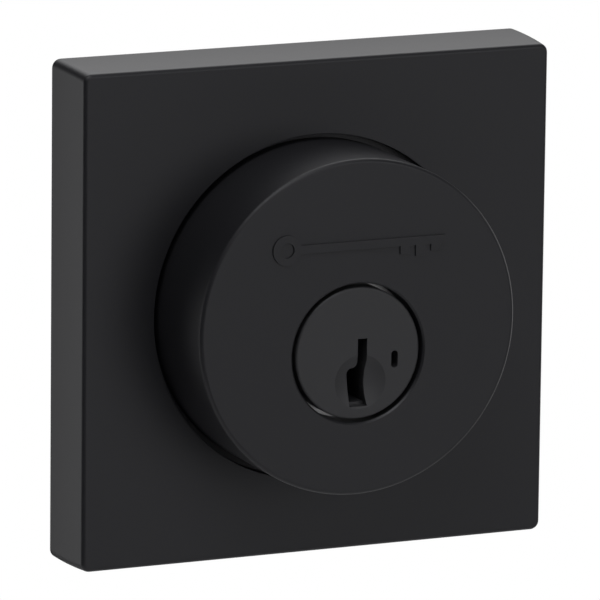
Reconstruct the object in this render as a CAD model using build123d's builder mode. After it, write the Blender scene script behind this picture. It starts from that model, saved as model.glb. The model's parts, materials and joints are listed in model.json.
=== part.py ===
from build123d import *
import os

# Outside half of a square-rose deadbolt with a re-keyable side-bar cylinder.
# Frame: the key plug turns about the Y axis.  y = 0 is the face of the door,
# -Y points out of the door, +Y into it, +Z is up.

# ---- Rose, guard and fixing dimensions ----
TRIM_RISE = 3.45            # the rose and the guard are centred this far above the plug
ROSE_SQUARE = 67.4          # side of the rose against the door; its front is 66.7
ROSE_DEPTH = 10.5
ROSE_DRAFT = 1.9            # degrees, the casting's draft on its four sides
ROSE_CORNER = 1.3
ROSE_EDGE = 0.55
ROSE_CAVITY_SQUARE = 62.4
ROSE_CAVITY_DEPTH = 8.3
ROSE_HOLE = 23.3
BOSS_SPACING = 52.0
BOSSES = [(x, TRIM_RISE + z) for x in (-BOSS_SPACING / 2, BOSS_SPACING / 2)
          for z in (-BOSS_SPACING / 2, BOSS_SPACING / 2)]
BOSS = 3.2
BOSS_PILOT = 1.25
BOSS_PILOT_END = -7.6

GUARD_FRONT = -24.15
GUARD = 22.5
GUARD_EDGE = 0.55
GUARD_FLANGE = 26.0
GUARD_FLANGE_REAR = -5.2
GUARD_FACE_THICKNESS = 3.85
GUARD_PLUG_HOLE = 9.35
GUARD_HOLE_CHAMFER = 0.35
GUARD_BORE = 13.0
EMBLEM_RELIEF = 0.25        # height of the raised key emblem
EMBLEM_RISE = 11.1          # its centre line above the guard's centre
EMBLEM_BOW = 2.0
EMBLEM_BOW_X = -10.4
EMBLEM_TIP_X = 12.2
EMBLEM_SHAFT = 1.15
EMBLEM_TEETH = ((6.4, 1.1), (8.6, 1.5), (10.8, 0.9))     # place along the shaft and drop below it
EMBLEM_TOOTH_WIDTH = 1.3

PLATE_SQUARE = 62.0
PLATE_REAR = -0.2
PLATE_FRONT = -2.2
PLATE_HOLE = 13.4
ROSE_SCREW_SHANK = 1.2
ROSE_SCREW_HEAD = 2.6
ROSE_SCREW_LENGTH = 7.0
ROSE_SCREW_HOLE = 1.35

COUNTERSINK = 90.0          # degrees, all countersunk screws
CROSS_WIDTH = 0.25          # of the head's radius, the arms of a screw's cross recess
CROSS_DEPTH = 0.33

GUARD_SCREW_SPACING = 33.6
GUARD_SCREWS = [(-GUARD_SCREW_SPACING / 2, TRIM_RISE), (GUARD_SCREW_SPACING / 2, TRIM_RISE)]
GUARD_SCREW_SHANK = 1.3
GUARD_SCREW_HEAD = 2.7
GUARD_SCREW_LENGTH = 10.0
GUARD_SCREW_HOLE = 1.45
GUARD_PILOT = 1.35
GUARD_PILOT_END = -13.0

POST_SPACING = 38.0
POSTS = [(-POST_SPACING / 2, 0), (POST_SPACING / 2, 0)]
POST = 4.0
POST_REAR = 12.0
POST_STEM = 2.5
POST_BORE = 2.1
POST_CHAMFER = 0.4

RING_OUTER = 26.75          # slips into a 54 mm cross bore
RING_INNER = 24.0
RING_ROOT = 26.2            # radius of the short neck next to the plate
RING_ROOT_REAR = 0.5
RING_CHAMFER = 1.0
RING_REAR = 7.0
RING_WEB_REAR = 1.0
RING_WEB_HOLE = 13.6
RING_POST_HOLE = 4.1

# ---- Cylinder and plug ----
BODY = 12.8
BODY_FRONT = -20.2
BODY_REAR = 5.1
BODY_BORE = 8.05
EAR_FRONT = -5.2
EAR_REAR = -2.2
EAR_SPAN = 41.6
EAR_WIDTH = 8.0
BAR_RELIEF = 9.15
BAR_RELIEF_FRONT = -19.2
BAR_RELIEF_REAR = 2.6
BAR_RELIEF_BACK_X = -3.1

HEAD = 8.85
HEAD_FRONT = -23.95
HEAD_REAR = -20.3
HEAD_EDGE = 0.3
BARREL = 8.0
BARREL_REAR = 7.0
DISH_X = 0.4
DISH_Z = -3.9
DISH = 3.65
DISH_DEPTH = 0.4
KEYWAY_REAR = 2.3
KEYWAY_TOP = 1.9
KEYWAY_BOTTOM = -7.2
STEM_LEFT = 0.0
STEM_RIGHT = 1.34
STEM_END = -1.2             # below it the keyway swells to the left
BELLY_LEFT = -1.47
BELLY_TOP = -2.9
SHOULDER_X = -0.7
SHOULDER_Z = -2.0
WAIST_X = 1.02              # the right side bows in to here
WAIST_Z = -3.6
FLOOR_LEFT = -1.07
FLOOR_RIGHT = 1.45
TOOL_SLOT_X = 5.3
TOOL_SLOT_Z = -1.2
TOOL_SLOT_LENGTH = 2.3
TOOL_SLOT_WIDTH = 0.95

CHAMBER_PITCH = 3.81
CHAMBER_FIRST = -16.8
CHAMBER_COUNT = 5
CHAMBERS = [CHAMBER_FIRST + CHAMBER_PITCH * k for k in range(CHAMBER_COUNT)]
CHAMBER_X = 0.6
CHAMBER = 1.45
CHAMBER_FLOOR = -1.7
COVER_FLOOR = 7.0
COVER_WIDTH = 3.5
COVER_FRONT = -18.7
COVER_REAR = 0.4
COVER_TOP = 7.95

POCKET_LEFT = 1.7
POCKET_BOTTOM = -5.9
POCKET_TOP = 4.9
POCKET_FRONT = -19.5
POCKET_REAR = 2.9
BEYOND = 9.0                # clear of the barrel on any side

BALL = 1.2
BALL_HOLE = 1.25
BALL_HOLE_FLOOR = -3.8
BALL_Y = -18.6
BALL_Z = (-2.6, 2.6)

RECESS = 4.8
RECESS_FLOOR = 3.7
WINDOW = 6.2
TAB_SPREAD = 30.0           # degrees of arc that each tab of the tailpiece fills
WINDOW_PLAY = 1.5
LOST_MOTION = 90.0          # degrees that the tailpiece turns before the plug picks it up
CLIP_GROOVE = 7.3
CLIP_FRONT = 5.2
CLIP_REAR = 6.1
CLIP = 9.6
CLIP_GAP = 7.0

# ---- Pins, racks, carriage and side bar ----
PIN = 1.4
PIN_LENGTH = 4.4
PIN_LOWEST = -1.6
PIN_TIP = 0.7
PIN_SPRING_BORE = 0.9
PIN_SPRING_SEAT = 2.8       # above the pin's lower end
PIN_LIFT_STEP = 0.6
PIN_CODE = (3, 1, 4, 2, 3)  # steps that the learned key lifts each pin by
PIN_LIFTS = [PIN_LIFT_STEP * steps for steps in PIN_CODE]
NIB_END = 2.4
NIB_WIDTH = 0.8
NIB_HEIGHT = 0.35
NIB_ABOVE_LOWEST = 1.5      # from the pin's lower end up to the nib's middle

RACK_LEFT = 2.05
RACK_RIGHT = 4.6
RACK_THICKNESS = 1.3
RACK_BOTTOM = -3.0
RACK_TOP = 3.8
RACK_NOTCH_DEPTH = 0.45
RACK_NOTCH_HEIGHT = 0.45
RACK_NOTCHES = 6
BAR_GROOVE_FLOOR = 3.75
BAR_GROOVE_NARROW = 0.45
BAR_GROOVE_WIDE = 1.0

CARRIAGE_LEFT = 2.6
CARRIAGE_RIM = 7.85
CARRIAGE_BOTTOM = -5.7
CARRIAGE_TOP = 4.7
CARRIAGE_FRONT = -19.3
CARRIAGE_REAR = 0.6
RACK_SLOT_WIDTH = 1.5
RACK_SLOT_RIGHT = 4.7
BAR_SLOT_LEFT = 3.7
BAR_SLOT_WIDTH = 1.7
BAR_SLOT_FRONT = -19.0
BAR_SLOT_REAR = 0.3

BAR_FRONT = -18.8
BAR_REAR = 0.1
BAR_OUTER = 8.9
BAR_SHOULDER = 5.7
BAR_TIP = 4.8
BAR_TIP_FRONT = -17.6
BAR_TIP_REAR = -0.85
BAR_THICKNESS = 1.5
BAR_TIP_THICKNESS = 0.5
BAR_SPRING = 0.42
BAR_SPRING_WIRE = 0.14
BAR_SPRING_HOLE = 0.5
BAR_SPRING_FLOOR = 3.2
BAR_SPRING_Y = (-18.25, -0.3)

CARRIAGE_SPRING = 0.8
CARRIAGE_SPRING_WIRE = 0.25
CARRIAGE_SPRING_HOLE = 0.95
CARRIAGE_SPRING_X = 6.0
CARRIAGE_SPRING_Z = -3.0
CARRIAGE_SPRING_SEAT = -4.0
PIN_SPRING = 0.8
PIN_SPRING_WIRE = 0.22

# ---- Tailpiece and its cap ----
TAIL_FRONT = 3.9
TAIL_REAR = 6.7
TAIL_DISC = 4.6
TAIL_TAB = 6.0
BLADE_HEIGHT = 6.5
BLADE_THICKNESS = 1.8
BLADE_END = 60.0
BLADE_TIP_CUT = 0.85
CAP = 7.2
CAP_HOLE = 4.2
CAP_THICKNESS = 1.0
CAP_SCREW = 0.75
CAP_SCREW_PILOT = 0.8
CAP_SCREW_CLEARANCE = 0.85
CAP_SCREW_HEAD = 1.2
CAP_SCREW_HEAD_HEIGHT = 0.7
CAP_SCREW_CIRCLE = 5.7
CAP_SCREW_TURN = 45.0
CAP_SCREW_END = 3.9


def facing(y):
    """The plane across the plug's axis at y: sketch x is X, sketch y is Z, extruding goes out, to -Y."""
    return Plane.XZ.offset(-y)


def from_door(y):
    """The same plane seen from inside the door: its normal is +Y, sketch y is Z."""
    return Plane(origin=(0, y, 0), x_dir=(-1, 0, 0), z_dir=(0, 1, 0))


def countersunk_screw(shank, head, length):
    """A countersunk screw with a cross recess, its head flush with the workplane."""
    narrow = head * CROSS_WIDTH
    head_height = head - shank
    Cone(shank, head, head_height, align=(Align.CENTER, Align.CENTER, Align.MAX))
    Cylinder(shank, length, align=(Align.CENTER, Align.CENTER, Align.MAX))
    for across, along in ((head, narrow), (narrow, head)):
        Box(across, along, head * CROSS_DEPTH, align=(Align.CENTER, Align.CENTER, Align.MAX), mode=Mode.SUBTRACT)


os.makedirs("parts", exist_ok=True)

# Square rose: a drafted shell, open at the back, with four screw bosses.
with BuildPart() as rose_plate:
    with BuildSketch(facing(0)):
        with Locations((0, TRIM_RISE)):
            RectangleRounded(ROSE_SQUARE, ROSE_SQUARE, ROSE_CORNER)
    extrude(amount=ROSE_DEPTH, taper=ROSE_DRAFT)
    fillet(rose_plate.faces().sort_by(Axis.Y)[0].edges(), ROSE_EDGE)
    with BuildSketch(facing(0)):
        with Locations((0, TRIM_RISE)):
            RectangleRounded(ROSE_CAVITY_SQUARE, ROSE_CAVITY_SQUARE, ROSE_CORNER)
    extrude(amount=ROSE_CAVITY_DEPTH, mode=Mode.SUBTRACT)
    with BuildSketch(facing(-ROSE_CAVITY_DEPTH)):
        with Locations((0, TRIM_RISE)):
            Circle(ROSE_HOLE)
    extrude(amount=ROSE_DEPTH - ROSE_CAVITY_DEPTH, mode=Mode.SUBTRACT)
    with BuildSketch(facing(PLATE_FRONT)):
        with Locations(BOSSES):
            Circle(BOSS)
    extrude(amount=ROSE_CAVITY_DEPTH + PLATE_FRONT)
    with BuildSketch(facing(PLATE_FRONT)):
        with Locations(BOSSES):
            Circle(BOSS_PILOT)
    extrude(amount=PLATE_FRONT - BOSS_PILOT_END, mode=Mode.SUBTRACT)
rose_plate.part.label = "rose_plate"
export_step(rose_plate.part, "parts/rose_plate.step")

# Steel plate behind the rose: it clamps the cylinder and carries the posts.
with BuildPart() as support_plate:
    with BuildSketch(facing(PLATE_REAR)):
        with Locations((0, TRIM_RISE)):
            RectangleRounded(PLATE_SQUARE, PLATE_SQUARE, ROSE_CORNER)
        Circle(PLATE_HOLE, mode=Mode.SUBTRACT)
        with Locations(POSTS):
            Circle(POST_STEM, mode=Mode.SUBTRACT)
    extrude(amount=PLATE_REAR - PLATE_FRONT)
    with Locations(from_door(PLATE_REAR)):
        with Locations(BOSSES):
            CounterSinkHole(ROSE_SCREW_HOLE, ROSE_SCREW_HEAD + ROSE_SCREW_HOLE - ROSE_SCREW_SHANK,
                            counter_sink_angle=COUNTERSINK)
support_plate.part.label = "support_plate"
export_step(support_plate.part, "parts/support_plate.step")

with BuildPart(from_door(PLATE_REAR)) as rose_screws:
    with Locations(BOSSES):
        countersunk_screw(ROSE_SCREW_SHANK, ROSE_SCREW_HEAD, ROSE_SCREW_LENGTH)
rose_screws.part.label = "rose_screws"
export_step(rose_screws.part, "parts/rose_screws.step")

# Two threaded posts, riveted into the plate by their stems.
with BuildPart() as mounting_posts:
    with BuildSketch(facing(POST_REAR)):
        with Locations(POSTS):
            Circle(POST)
    extrude(amount=POST_REAR - PLATE_REAR)
    with BuildSketch(facing(PLATE_REAR)):
        with Locations(POSTS):
            Circle(POST_STEM)
    extrude(amount=PLATE_REAR - PLATE_FRONT)
    with BuildSketch(facing(POST_REAR)):
        with Locations(POSTS):
            Circle(POST_BORE)
    extrude(amount=POST_REAR - PLATE_REAR, mode=Mode.SUBTRACT)
    chamfer(mounting_posts.faces().filter_by(Axis.Y).sort_by(Axis.Y)[-2:].edges(), POST_CHAMFER)
mounting_posts.part.label = "mounting_posts"
export_step(mounting_posts.part, "parts/mounting_posts.step")

# Plastic ring that centres the lock in the door's cross bore.
with BuildPart() as adapter_ring:
    with BuildSketch(facing(RING_REAR)):
        Circle(RING_OUTER)
    extrude(amount=RING_REAR - RING_ROOT_REAR)
    chamfer(adapter_ring.faces().sort_by(Axis.Y)[-1].edges(), RING_CHAMFER)
    with BuildSketch(facing(RING_ROOT_REAR)):
        Circle(RING_ROOT)
    extrude(amount=RING_ROOT_REAR - PLATE_REAR)
    with BuildSketch(facing(RING_REAR)):
        Circle(RING_INNER)
    extrude(amount=RING_REAR - RING_WEB_REAR, mode=Mode.SUBTRACT)
    with BuildSketch(facing(RING_WEB_REAR)):
        Circle(RING_WEB_HOLE)
        with Locations(POSTS):
            Circle(RING_POST_HOLE)
    extrude(amount=RING_WEB_REAR - PLATE_REAR, mode=Mode.SUBTRACT)
adapter_ring.part.label = "adapter_ring"
export_step(adapter_ring.part, "parts/adapter_ring.step")

# Round guard over the cylinder, with a flange that the rose traps.
with BuildPart() as cylinder_guard:
    with BuildSketch(facing(-ROSE_CAVITY_DEPTH)):
        with Locations((0, TRIM_RISE)):
            Circle(GUARD)
    extrude(amount=-ROSE_CAVITY_DEPTH - GUARD_FRONT)
    fillet(cylinder_guard.faces().sort_by(Axis.Y)[0].edges(), GUARD_EDGE)
    with BuildSketch(facing(GUARD_FLANGE_REAR)):
        with Locations((0, TRIM_RISE)):
            Circle(GUARD_FLANGE)
    extrude(amount=GUARD_FLANGE_REAR + ROSE_CAVITY_DEPTH)
    with BuildSketch(facing(GUARD_FLANGE_REAR)):
        Circle(GUARD_BORE)
    extrude(amount=GUARD_FLANGE_REAR - GUARD_FRONT - GUARD_FACE_THICKNESS, mode=Mode.SUBTRACT)
    with BuildSketch(facing(GUARD_FRONT + GUARD_FACE_THICKNESS)):
        Circle(GUARD_PLUG_HOLE)
    extrude(amount=GUARD_FACE_THICKNESS, mode=Mode.SUBTRACT)
    chamfer(cylinder_guard.edges().filter_by(GeomType.CIRCLE).group_by(Axis.Y)[0].sort_by(SortBy.RADIUS)[0],
            GUARD_HOLE_CHAMFER)
    with BuildSketch(facing(GUARD_FLANGE_REAR)):
        with Locations(GUARD_SCREWS):
            Circle(GUARD_PILOT)
    extrude(amount=GUARD_FLANGE_REAR - GUARD_PILOT_END, mode=Mode.SUBTRACT)
    with BuildSketch(facing(GUARD_FRONT)):
        with Locations((0, TRIM_RISE + EMBLEM_RISE)):
            with Locations((EMBLEM_BOW_X, 0)):
                Circle(EMBLEM_BOW)
                Circle(EMBLEM_BOW / 2, mode=Mode.SUBTRACT)
            with Locations(((EMBLEM_BOW_X + EMBLEM_BOW + EMBLEM_TIP_X) / 2, 0)):
                RectangleRounded(EMBLEM_TIP_X - EMBLEM_BOW_X - EMBLEM_BOW + EMBLEM_SHAFT / 2, EMBLEM_SHAFT,
                                 EMBLEM_SHAFT / 4)
            for tooth_x, drop in EMBLEM_TEETH:
                with Locations((tooth_x, -drop / 2)):
                    Rectangle(EMBLEM_TOOTH_WIDTH, drop + EMBLEM_SHAFT / 2)
    extrude(amount=EMBLEM_RELIEF)
cylinder_guard.part.label = "cylinder_guard"
export_step(cylinder_guard.part, "parts/cylinder_guard.step")

# Cylinder body: the plug runs in it, and its two ears are screwed to the guard.
with BuildPart() as cylinder_body:
    with BuildSketch(facing(BODY_REAR)):
        Circle(BODY)
    extrude(amount=BODY_REAR - BODY_FRONT)
    with BuildSketch(facing(EAR_REAR)):
        with Locations((0, TRIM_RISE)):
            SlotOverall(EAR_SPAN, EAR_WIDTH)
    extrude(amount=EAR_REAR - EAR_FRONT)
    with BuildSketch(facing(BODY_REAR)):
        Circle(BODY_BORE)
    extrude(amount=BODY_REAR - BODY_FRONT, mode=Mode.SUBTRACT)
    with BuildSketch(facing(BAR_RELIEF_REAR)):
        Circle(BAR_RELIEF)
        with Locations((BAR_RELIEF_BACK_X, 0)):
            Rectangle(2 * BAR_RELIEF, 2 * BAR_RELIEF, align=(Align.MIN, Align.CENTER), mode=Mode.INTERSECT)
    extrude(amount=BAR_RELIEF_REAR - BAR_RELIEF_FRONT, mode=Mode.SUBTRACT)
    with Locations(from_door(EAR_REAR)):
        with Locations(GUARD_SCREWS):
            CounterSinkHole(GUARD_SCREW_HOLE, GUARD_SCREW_HEAD + GUARD_SCREW_HOLE - GUARD_SCREW_SHANK,
                            depth=EAR_REAR - EAR_FRONT, counter_sink_angle=COUNTERSINK)
cylinder_body.part.label = "cylinder_body"
export_step(cylinder_body.part, "parts/cylinder_body.step")

with BuildPart(from_door(EAR_REAR)) as guard_screws:
    with Locations(GUARD_SCREWS):
        countersunk_screw(GUARD_SCREW_SHANK, GUARD_SCREW_HEAD, GUARD_SCREW_LENGTH)
guard_screws.part.label = "guard_screws"
export_step(guard_screws.part, "parts/guard_screws.step")

# Key plug: head, barrel, keyway, five pin chambers and the side pocket for the carriage.
DISH_SPHERE = (DISH ** 2 + DISH_DEPTH ** 2) / (2 * DISH_DEPTH)
WINDOW_START = -TAB_SPREAD / 2 - WINDOW_PLAY - LOST_MOTION
WINDOW_SWEEP = TAB_SPREAD + 2 * WINDOW_PLAY + LOST_MOTION
HALF_TURN = 180.0
with BuildPart() as key_plug:
    with BuildSketch(facing(HEAD_REAR)):
        Circle(HEAD)
    extrude(amount=HEAD_REAR - HEAD_FRONT)
    fillet(key_plug.faces().sort_by(Axis.Y)[0].edges(), HEAD_EDGE)
    with BuildSketch(facing(BARREL_REAR)):
        Circle(BARREL)
    extrude(amount=BARREL_REAR - HEAD_REAR)
    with Locations((DISH_X, HEAD_FRONT + DISH_DEPTH - DISH_SPHERE, DISH_Z)):
        Sphere(DISH_SPHERE, mode=Mode.SUBTRACT)
    with BuildSketch(facing(KEYWAY_REAR)):
        with BuildLine():
            top_left = (STEM_LEFT, KEYWAY_TOP)
            stem_end = (STEM_LEFT, STEM_END)
            shoulder = (SHOULDER_X, SHOULDER_Z)
            belly_top = (BELLY_LEFT, BELLY_TOP)
            floor_left = (FLOOR_LEFT, KEYWAY_BOTTOM)
            floor_right = (FLOOR_RIGHT, KEYWAY_BOTTOM)
            Polyline(stem_end, top_left, (STEM_RIGHT, KEYWAY_TOP), (STEM_RIGHT, STEM_END))
            ThreePointArc((STEM_RIGHT, STEM_END), (WAIST_X, WAIST_Z), floor_right)
            Polyline(floor_right, floor_left, belly_top)
            TangentArc(shoulder, belly_top, tangent=(-1, 0))
            TangentArc(stem_end, shoulder, tangent=(0, -1))
        make_face()
    extrude(amount=KEYWAY_REAR - HEAD_FRONT, mode=Mode.SUBTRACT)
    with BuildSketch(facing(POCKET_FRONT)):
        with Locations((TOOL_SLOT_X, TOOL_SLOT_Z)):
            SlotOverall(TOOL_SLOT_LENGTH, TOOL_SLOT_WIDTH, rotation=90)
    extrude(amount=POCKET_FRONT - HEAD_FRONT, mode=Mode.SUBTRACT)
    with BuildSketch(facing(POCKET_REAR)):
        with Locations((POCKET_LEFT, POCKET_BOTTOM)):
            Rectangle(BEYOND - POCKET_LEFT, POCKET_TOP - POCKET_BOTTOM, align=Align.MIN)
    extrude(amount=POCKET_REAR - POCKET_FRONT, mode=Mode.SUBTRACT)
    with BuildSketch(Plane.XY.offset(CHAMBER_FLOOR)):
        with Locations([(CHAMBER_X, y) for y in CHAMBERS]):
            Circle(CHAMBER)
    extrude(amount=COVER_FLOOR - CHAMBER_FLOOR, mode=Mode.SUBTRACT)
    with BuildSketch(Plane.XY.offset(COVER_FLOOR)):
        with Locations((CHAMBER_X, COVER_FRONT)):
            Rectangle(COVER_WIDTH, COVER_REAR - COVER_FRONT, align=(Align.CENTER, Align.MIN))
    extrude(amount=BEYOND - COVER_FLOOR, mode=Mode.SUBTRACT)
    with BuildSketch(Plane.YZ.offset(-BEYOND)):
        with Locations([(BALL_Y, z) for z in BALL_Z]):
            Circle(BALL_HOLE)
    extrude(amount=BEYOND + BALL_HOLE_FLOOR, mode=Mode.SUBTRACT)
    with BuildSketch(facing(BARREL_REAR)):
        Circle(RECESS)
        for start in (WINDOW_START, WINDOW_START + HALF_TURN):
            with BuildLine():
                window_rim = CenterArc((0, 0), WINDOW, start, WINDOW_SWEEP)
                Polyline(window_rim @ 1, (0, 0), window_rim @ 0)
            make_face()
    extrude(amount=BARREL_REAR - RECESS_FLOOR, mode=Mode.SUBTRACT)
    with BuildSketch(facing(CLIP_REAR)):
        Circle(BEYOND)
        Circle(CLIP_GROOVE, mode=Mode.SUBTRACT)
    extrude(amount=CLIP_REAR - CLIP_FRONT, mode=Mode.SUBTRACT)
    with BuildSketch(facing(BARREL_REAR)):
        with PolarLocations(CAP_SCREW_CIRCLE, 2, start_angle=CAP_SCREW_TURN):
            Circle(CAP_SCREW_PILOT)
    extrude(amount=BARREL_REAR - CAP_SCREW_END, mode=Mode.SUBTRACT)
key_plug.part.label = "key_plug"
export_step(key_plug.part, "parts/key_plug.step")

# Strip that closes the tops of the pin chambers, rounded with the barrel.
with BuildPart() as chamber_cover:
    with BuildSketch(facing(COVER_REAR)):
        Circle(COVER_TOP)
        with Locations((CHAMBER_X, COVER_FLOOR)):
            Rectangle(COVER_WIDTH, BEYOND, align=(Align.CENTER, Align.MIN), mode=Mode.INTERSECT)
    extrude(amount=COVER_REAR - COVER_FRONT)
chamber_cover.part.label = "chamber_cover"
export_step(chamber_cover.part, "parts/chamber_cover.step")

with BuildPart() as drill_guard_balls:
    with Locations([(BALL_HOLE_FLOOR - BALL, BALL_Y, z) for z in BALL_Z]):
        Sphere(BALL)
drill_guard_balls.part.label = "drill_guard_balls"
export_step(drill_guard_balls.part, "parts/drill_guard_balls.step")

# Open clip in the plug's groove, which holds it in the body.
with BuildPart() as plug_clip:
    with BuildSketch(facing(CLIP_REAR)):
        Circle(CLIP)
        Circle(CLIP_GROOVE, mode=Mode.SUBTRACT)
        Rectangle(CLIP_GAP, 2 * CLIP, align=(Align.CENTER, Align.MAX), mode=Mode.SUBTRACT)
    extrude(amount=CLIP_REAR - CLIP_FRONT)
plug_clip.part.label = "plug_clip"
export_step(plug_clip.part, "parts/plug_clip.step")

# Five key pins, each on its own lift, with the spring above it and the rack that its nib moves.
for number, (y, lift) in enumerate(zip(CHAMBERS, PIN_LIFTS), start=1):
    pin_bottom = PIN_LOWEST + lift
    spring_bottom = pin_bottom + PIN_SPRING_SEAT
    nib_z = PIN_LOWEST + NIB_ABOVE_LOWEST + lift

    with BuildPart() as key_pin:
        with BuildSketch(Plane.XY.offset(pin_bottom)):
            with Locations((CHAMBER_X, y)):
                Circle(PIN)
        extrude(amount=PIN_LENGTH)
        chamfer(key_pin.faces().sort_by(Axis.Z)[0].edges(), PIN - PIN_TIP, angle=45)
        with BuildSketch(Plane.YZ.offset(CHAMBER_X)):
            with Locations((y, nib_z)):
                Rectangle(NIB_WIDTH, NIB_HEIGHT)
        extrude(amount=NIB_END - CHAMBER_X)
        with BuildSketch(Plane.XY.offset(spring_bottom)):
            with Locations((CHAMBER_X, y)):
                Circle(PIN_SPRING_BORE)
        extrude(amount=PIN_LENGTH, mode=Mode.SUBTRACT)
    key_pin.part.label = f"key_pin_{number}"
    export_step(key_pin.part, f"parts/key_pin_{number}.step")

    with BuildPart() as pin_spring:
        with BuildSketch(Plane.XY.offset(spring_bottom)):
            with Locations((CHAMBER_X, y)):
                Circle(PIN_SPRING)
                Circle(PIN_SPRING - PIN_SPRING_WIRE, mode=Mode.SUBTRACT)
        extrude(amount=COVER_FLOOR - spring_bottom)
    pin_spring.part.label = f"pin_spring_{number}"
    export_step(pin_spring.part, f"parts/pin_spring_{number}.step")

    with BuildPart() as tumbler_rack:
        with BuildSketch(facing(y + RACK_THICKNESS / 2)):
            with Locations((RACK_LEFT, RACK_BOTTOM)):
                Rectangle(RACK_RIGHT - RACK_LEFT, RACK_TOP - RACK_BOTTOM, align=Align.MIN)
            notch_top = PIN_LOWEST + NIB_ABOVE_LOWEST + PIN_LIFT_STEP * (RACK_NOTCHES - 1)
            with Locations([(RACK_LEFT, notch_top - PIN_LIFT_STEP * k) for k in range(RACK_NOTCHES)]):
                Rectangle(2 * RACK_NOTCH_DEPTH, RACK_NOTCH_HEIGHT, mode=Mode.SUBTRACT)
            with BuildLine():
                Polyline((RACK_RIGHT, BAR_GROOVE_WIDE), (BAR_GROOVE_FLOOR, BAR_GROOVE_NARROW),
                         (BAR_GROOVE_FLOOR, -BAR_GROOVE_NARROW), (RACK_RIGHT, -BAR_GROOVE_WIDE), close=True)
            make_face(mode=Mode.SUBTRACT)
        extrude(amount=RACK_THICKNESS)
    tumbler_rack.part.label = f"tumbler_rack_{number}"
    export_step(tumbler_rack.part, f"parts/tumbler_rack_{number}.step")

# Carriage: a comb that guides the racks and the side bar, and slides along the plug to re-key it.
with BuildPart() as rack_carriage:
    with BuildSketch(facing(CARRIAGE_REAR)):
        with Locations((CARRIAGE_LEFT, CARRIAGE_BOTTOM)):
            Rectangle(BEYOND, CARRIAGE_TOP - CARRIAGE_BOTTOM, align=Align.MIN)
        Circle(CARRIAGE_RIM, mode=Mode.INTERSECT)
    extrude(amount=CARRIAGE_REAR - CARRIAGE_FRONT)
    with BuildSketch(Plane.XY.offset(CARRIAGE_BOTTOM)):
        with Locations([(CARRIAGE_LEFT, y) for y in CHAMBERS]):
            Rectangle(RACK_SLOT_RIGHT - CARRIAGE_LEFT, RACK_SLOT_WIDTH, align=(Align.MIN, Align.CENTER))
    extrude(amount=CARRIAGE_TOP - CARRIAGE_BOTTOM, mode=Mode.SUBTRACT)
    with BuildSketch(Plane.YZ.offset(BAR_SLOT_LEFT)):
        with Locations((BAR_SLOT_FRONT, 0)):
            Rectangle(BAR_SLOT_REAR - BAR_SLOT_FRONT, BAR_SLOT_WIDTH, align=(Align.MIN, Align.CENTER))
    extrude(amount=BEYOND - BAR_SLOT_LEFT, mode=Mode.SUBTRACT)
    with BuildSketch(Plane.YZ.offset(BAR_SPRING_FLOOR)):
        with Locations([(spring_y, 0) for spring_y in BAR_SPRING_Y]):
            Circle(BAR_SPRING_HOLE)
    extrude(amount=BAR_SLOT_LEFT - BAR_SPRING_FLOOR, mode=Mode.SUBTRACT)
    with BuildSketch(facing(CARRIAGE_REAR)):
        with Locations((CARRIAGE_SPRING_X, CARRIAGE_SPRING_Z)):
            Circle(CARRIAGE_SPRING_HOLE)
    extrude(amount=CARRIAGE_REAR - CARRIAGE_SPRING_SEAT, mode=Mode.SUBTRACT)
rack_carriage.part.label = "rack_carriage"
export_step(rack_carriage.part, "parts/rack_carriage.step")

with BuildPart() as carriage_spring:
    with BuildSketch(facing(POCKET_REAR)):
        with Locations((CARRIAGE_SPRING_X, CARRIAGE_SPRING_Z)):
            Circle(CARRIAGE_SPRING)
            Circle(CARRIAGE_SPRING - CARRIAGE_SPRING_WIRE, mode=Mode.SUBTRACT)
    extrude(amount=POCKET_REAR - CARRIAGE_SPRING_SEAT)
carriage_spring.part.label = "carriage_spring"
export_step(carriage_spring.part, "parts/carriage_spring.step")

# Side bar: a wedge-edged bar that drops into the racks' grooves when they line up.
with BuildPart() as side_bar:
    with BuildSketch(facing(BAR_REAR)):
        with Locations((BAR_SHOULDER, 0)):
            Rectangle(BAR_OUTER - BAR_SHOULDER, BAR_THICKNESS, align=(Align.MIN, Align.CENTER))
    extrude(amount=BAR_REAR - BAR_FRONT)
    with BuildSketch(facing(BAR_TIP_REAR)):
        with BuildLine():
            Polyline((BAR_SHOULDER, BAR_THICKNESS / 2), (BAR_TIP, BAR_TIP_THICKNESS / 2),
                     (BAR_TIP, -BAR_TIP_THICKNESS / 2), (BAR_SHOULDER, -BAR_THICKNESS / 2), close=True)
        make_face()
    extrude(amount=BAR_TIP_REAR - BAR_TIP_FRONT)
side_bar.part.label = "side_bar"
export_step(side_bar.part, "parts/side_bar.step")

with BuildPart() as side_bar_springs:
    with BuildSketch(Plane.YZ.offset(BAR_SPRING_FLOOR)):
        with Locations([(spring_y, 0) for spring_y in BAR_SPRING_Y]):
            Circle(BAR_SPRING)
            Circle(BAR_SPRING - BAR_SPRING_WIRE, mode=Mode.SUBTRACT)
    extrude(amount=BAR_SHOULDER - BAR_SPRING_FLOOR)
side_bar_springs.part.label = "side_bar_springs"
export_step(side_bar_springs.part, "parts/side_bar_springs.step")

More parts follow.
